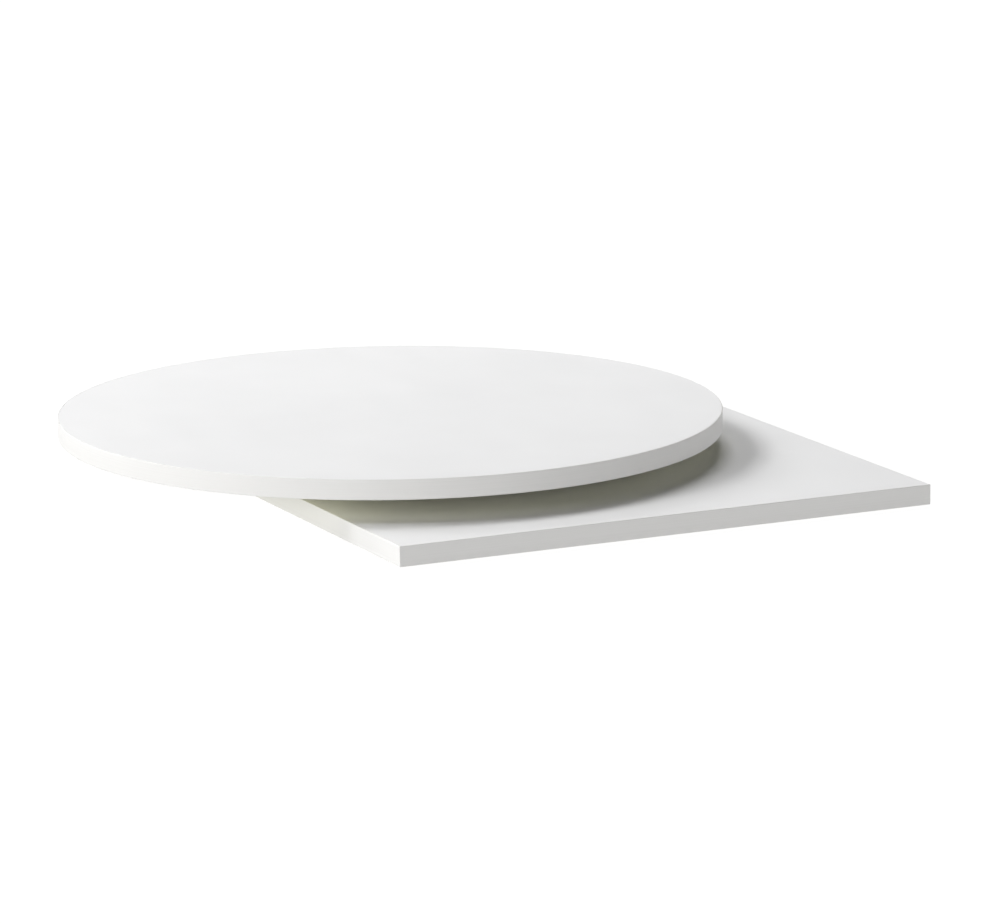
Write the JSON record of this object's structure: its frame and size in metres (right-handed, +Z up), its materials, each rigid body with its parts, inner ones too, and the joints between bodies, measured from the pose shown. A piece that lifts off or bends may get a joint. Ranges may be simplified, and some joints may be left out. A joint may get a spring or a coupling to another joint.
{
  "type": "lazy susan turntable",
  "caption": "Low turntable: a round laminated top spins on a flat ball bearing above a square laminated base set off to one side.",
  "frame": {"origin": "on the spin axis, on the surface that the rubber pads stand on, under the pad below the bearing", "axes": "+Z up along the spin axis; X and Y along the sides of the square base, which is set off towards +X and -Y; the pictured front side faces -Y"},
  "size_m": [0.656, 0.656, 0.058],
  "materials": {
    "board_core": "sanded",
    "white_laminate": "satin",
    "backing_laminate": "matt",
    "edge_band": "satin",
    "plated_steel": "zinc plated",
    "screw_steel": "zinc plated",
    "ball_steel": "polished",
    "cage_plastic": "moulded",
    "bush_plastic": "turned",
    "plug_rubber": "moulded",
    "foot_rubber": "matt"
  },
  "bodies": {
    "base": {"base_core": "board_core", "base_top_laminate": "white_laminate", "base_backing_laminate": "backing_laminate", "base_edge_band_front": "edge_band", "base_edge_band_right": "edge_band", "base_edge_band_back": "edge_band", "base_edge_band_left": "edge_band", "access_hole_plug": "plug_rubber", "rubber_foot_pads": "foot_rubber", "lower_bearing_plate": "plated_steel", "lower_plate_screws": "screw_steel", "centre_pivot_bolt": "screw_steel", "pivot_bush": "bush_plastic", "pivot_washer": "screw_steel", "pivot_lock_nut": "screw_steel"},
    "turntable": {"disc_core": "board_core", "disc_top_laminate": "white_laminate", "disc_backing_laminate": "backing_laminate", "disc_edge_band": "edge_band", "upper_bearing_plate": "plated_steel", "upper_plate_screws": "screw_steel"},
    "ball_cage_ring": {"ball_cage": "cage_plastic", "bearing_balls": "ball_steel"}
  },
  "joints": [
    {"name": "disc_spin", "type": "hinge", "parent": "base", "child": "turntable", "pos_m": [0, 0, 0.03], "axis": [0, 0, 1], "continuous": true},
    {"name": "cage_spin", "type": "hinge", "parent": "base", "child": "ball_cage_ring", "pos_m": [0, 0, 0.03], "axis": [0, 0, 1], "continuous": true}
  ],
  "couplings": [
    {"joint": "cage_spin", "follows": "disc_spin", "ratio": 0.5}
  ]
}
